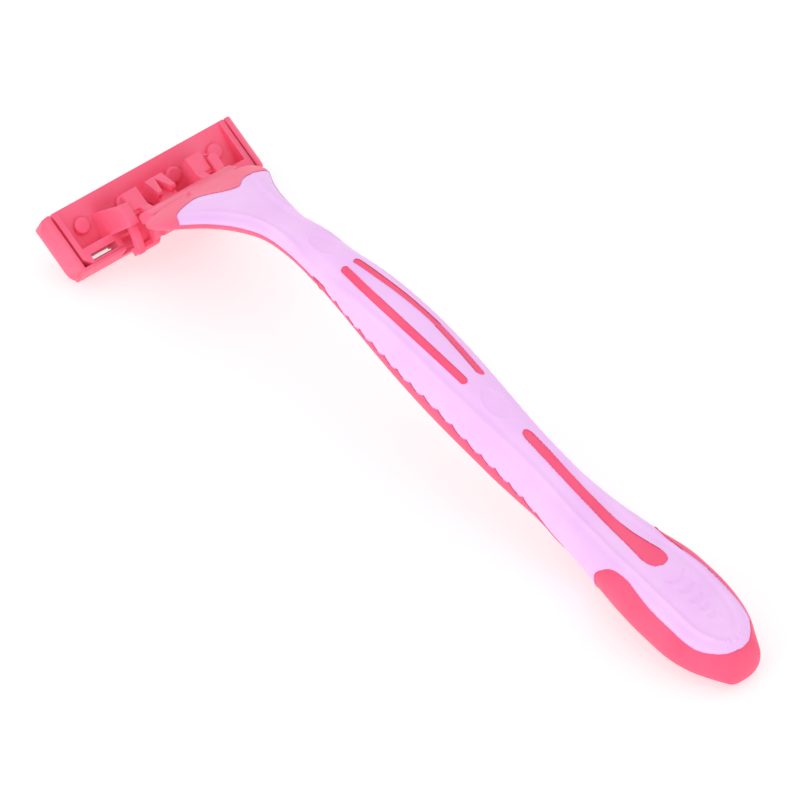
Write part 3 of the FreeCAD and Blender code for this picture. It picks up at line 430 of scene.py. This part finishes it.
LILAC = plastic("grip_lilac", srgb(250, 204, 254), srgb(246, 195, 252), 0.42, 0.0)
SHELL = plastic("shell_pink", srgb(255, 111, 144), srgb(254, 97, 132), 0.40, 0.15)
RUBBER = plastic("rubber_pink", srgb(255, 94, 134), srgb(253, 82, 122), 0.5, 0.0, 0.03)
STRIP = plastic("strip_white", srgb(236, 240, 236), srgb(222, 230, 226), 0.6, 0.3, 0.04)
STEEL = metal("blade_steel", (0.62, 0.63, 0.65, 1), 0.18)
SPRING = metal("spring_steel", (0.5, 0.5, 0.52, 1), 0.25)
SPACER = metal("spacer_metal", (0.6, 0.61, 0.62, 1), 0.35)

# ---------------------------------------------------------------- CAD pieces
FINISH = {"grip_lilac": LILAC, "shell_pink": SHELL, "rubber_pink": RUBBER, "strip_white": STRIP,
          "blade_steel": STEEL, "spring_steel": SPRING, "spacer_metal": SPACER}
for part in frame["record"]["subparts"]:
    obj = frame["nodes"][part["node"]]
    obj.data.materials.clear()
    obj.data.materials.append(FINISH[part["material_slot"]])
    for polygon in obj.data.polygons:
        polygon.use_smooth = False
for name in ("cartridge_frame", "blade_platform", "yoke", "plunger", "cartridge_cap"):
    obj = frame["nodes"][name]
    for polygon in obj.data.polygons:
        polygon.use_smooth = True
    weld = obj.modifiers.new("weld", "WELD")
    weld.merge_threshold = 2e-6
    bevel = obj.modifiers.new("soft edges", "BEVEL")
    bevel.width = 0.00016 if name != "cartridge_frame" else 0.00022
    bevel.segments = 3
    bevel.limit_method = "ANGLE"
    bevel.angle_limit = math.radians(28)
    bevel.use_clamp_overlap = True
    bevel.harden_normals = True

# ---------------------------------------------------------------- handle pieces
skin = Surface()
order = ["collar", "bumper", "belly", "stripe_left", "stripe_right", "drop"]
columns = [skin.points, skin.normal] + [skin.fieldset[k][..., None] for k in order]
grid = np.concatenate(columns, -1)
rows_n, round_n = skin.shape
points = grid.reshape(rows_n * round_n, -1)
i = np.arange(rows_n - 1)[:, None] * round_n
j = np.arange(round_n)[None, :]
k = (j + 1) % round_n
quads = np.stack([i + j, i + k, i + round_n + k, i + round_n + j], -1).reshape(-1, 4)
tris = np.concatenate([quads[:, [0, 1, 2]], quads[:, [0, 2, 3]]])[:, ::-1]
for ring, flip in ((0, False), ((rows_n - 1) * round_n, True)):
    middle = points[ring:ring + round_n].mean(0, keepdims=True)
    points = np.concatenate([points, middle])
    fan = np.stack([ring + j[0], ring + k[0], np.full(round_n, len(points) - 1)], 1)
    tris = np.concatenate([tris, fan[:, ::-1] if flip else fan])
names = {
    "collar": ("shoulder_collar", SHELL, "shell_pink"),
    "bumper": ("tail_bumper", RUBBER, "rubber_pink"),
    "belly": ("belly_grip", RUBBER, "rubber_pink"),
    "stripe_left": ("stripe_inlay_left", RUBBER, "rubber_pink"),
    "stripe_right": ("stripe_inlay_right", RUBBER, "rubber_pink"),
    "drop": ("teardrop_inlay", RUBBER, "rubber_pink"),
}
for column_index, key in enumerate(order):
    points, mine, tris = split(points, tris, 6 + column_index)
    node, material, slot = names[key]
    piece = make_piece("show_" + node, points, mine, "handle", material)
    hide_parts(node)
piece = make_piece("show_handle_core", points, tris, "handle", LILAC)
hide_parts("handle_core")

# ---------------------------------------------------------------- stage, light, camera
FLOOR_GAP = 0.0002
low = Vector(bounds_start[0])
bpy.ops.mesh.primitive_plane_add(size=6, location=(0, 0, low.z - FLOOR_GAP))
floor = bpy.context.object
floor.name = "floor"
paper = bpy.data.materials.new("paper")
paper.use_nodes = True
sheet = paper.node_tree.nodes["Principled BSDF"]
sheet.inputs["Base Color"].default_value = (0.6, 0.6, 0.6, 1)
sheet.inputs["Roughness"].default_value = 0.8
sheet.inputs["Emission Color"].default_value = (1, 1, 1, 1)
sheet.inputs["Emission Strength"].default_value = 0.5
floor.data.materials.append(paper)

world = bpy.data.worlds.new("soft room")
bpy.context.scene.world = world
world.use_nodes = True
world.node_tree.nodes["Background"].inputs[0].default_value = (1, 1, 1, 1)
world.node_tree.nodes["Background"].inputs[1].default_value = 0.88

CAMERA_ANGLES = (-39.4296, 41.7345, -1.3124)     # azimuth, elevation and roll, degrees
CAMERA_DISTANCE = 1.5
AIM_ASIDE, AIM_BELOW = 0.00055, 0.00577
azimuth, elevation, roll = map(math.radians, CAMERA_ANGLES)
level_part = math.cos(elevation)
back = Vector((math.sin(azimuth) * level_part, -math.cos(azimuth) * level_part, math.sin(elevation)))
level = Vector((0, 0, 1)).cross(back).normalized()
above = back.cross(level)
right = math.cos(roll) * level + math.sin(roll) * above
up = -math.sin(roll) * level + math.cos(roll) * above
aim = SHIFT + Vector((0, -0.066, 0.002))
eye = aim + back * CAMERA_DISTANCE
target = aim - right * AIM_ASIDE - up * AIM_BELOW
look = (target - eye).normalized()
side = look.cross(up).normalized()
true_up = side.cross(look)
camera = bpy.data.objects.new("camera", bpy.data.cameras.new("camera"))
bpy.context.scene.collection.objects.link(camera)
camera.matrix_world = Matrix((
    (side.x, true_up.x, -look.x, eye.x), (side.y, true_up.y, -look.y, eye.y),
    (side.z, true_up.z, -look.z, eye.z), (0, 0, 0, 1)))
camera.data.sensor_width = 36
camera.data.lens = 432.55
camera.data.clip_end = 10
bpy.context.scene.camera = camera


def lamp(name, size, power, place, towards):
    data = bpy.data.lights.new(name, "AREA")
    data.size = size
    data.energy = power
    obj = bpy.data.objects.new(name, data)
    bpy.context.scene.collection.objects.link(obj)
    obj.location = place
    obj.rotation_euler = (place - towards).to_track_quat("Z", "Y").to_euler()


centre = SHIFT + Vector((0, -0.066, 0.005))
lamp("key", 0.5, 1.6, centre + Vector((-0.95, -0.15, 0.5)), centre)
lamp("fill", 0.8, 0.35, centre + Vector((0.3, -0.5, 0.9)), centre)

bpy.context.scene.view_settings.view_transform = "Standard"
